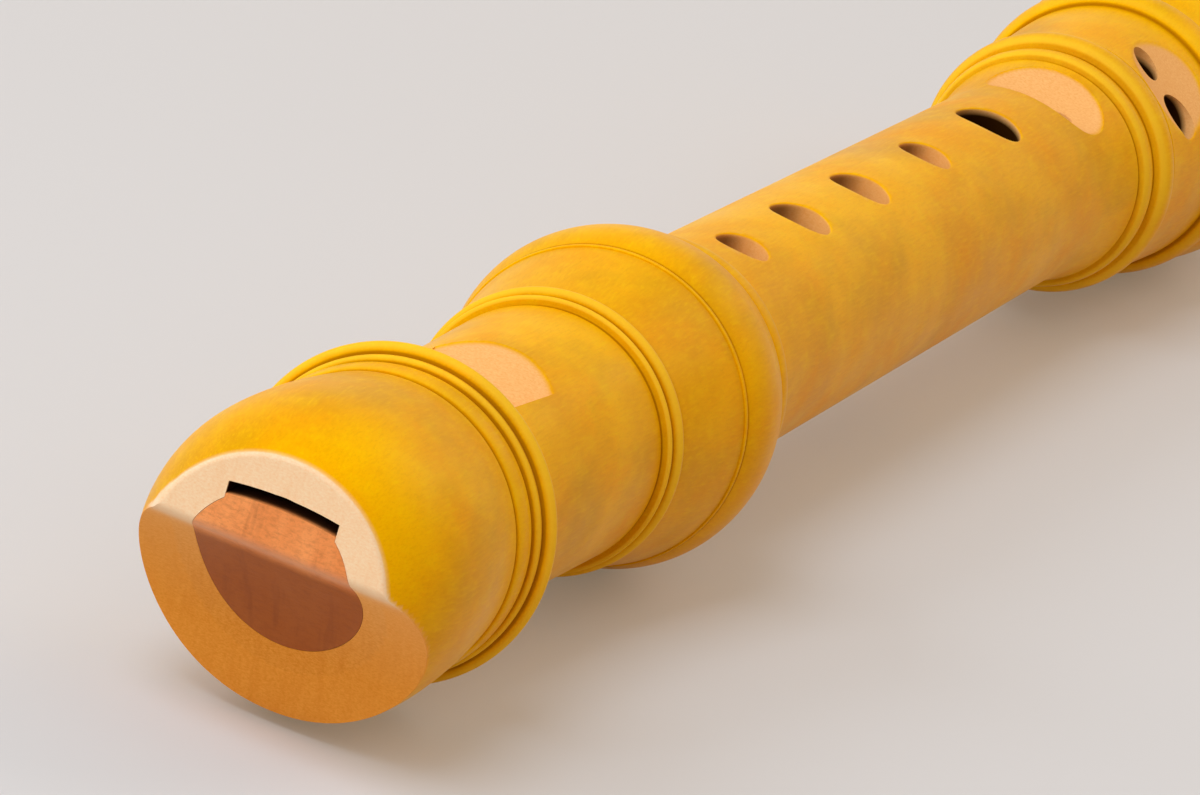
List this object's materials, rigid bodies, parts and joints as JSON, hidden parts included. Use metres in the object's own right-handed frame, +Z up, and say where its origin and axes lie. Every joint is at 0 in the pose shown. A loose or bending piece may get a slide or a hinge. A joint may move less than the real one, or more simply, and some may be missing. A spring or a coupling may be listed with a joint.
{
  "type": "sopranino recorder",
  "caption": "Small baroque-style boxwood duct flute: head joint with block, windway and window, and one-piece body with foot.",
  "frame": {"origin": "under the middle of the instrument, on the level surface that its two bulges lie on", "axes": "+Y along the bore from the mouth towards the foot, +Z up through the window, +X to the player's right as the instrument is held to the mouth"},
  "size_m": [0.0284, 0.2374, 0.0283],
  "materials": {
    "stained_boxwood": "stained and oiled, satin",
    "block_wood": "plain unfinished cedar-like wood",
    "waxed_thread": "wound thread, waxed"
  },
  "bodies": {
    "body": {"body_joint": "stained_boxwood"},
    "lapping": {"tenon_lapping": "waxed_thread"},
    "head": {"head_joint": "stained_boxwood"},
    "block": {"block": "block_wood"}
  },
  "joints": [
    {"name": "head_turn", "type": "hinge", "parent": "body", "child": "lapping", "pos_m": [0, -0.0422, 0.01417], "axis": [0, 1, 0], "continuous": true},
    {"name": "head_pull", "type": "slide", "parent": "lapping", "child": "head", "axis": [0, -1, 0], "range_m": [0, 0.02]},
    {"name": "block_pull", "type": "slide", "parent": "head", "child": "block", "axis": [0, -1, 0], "range_m": [0, 0.034]}
  ]
}
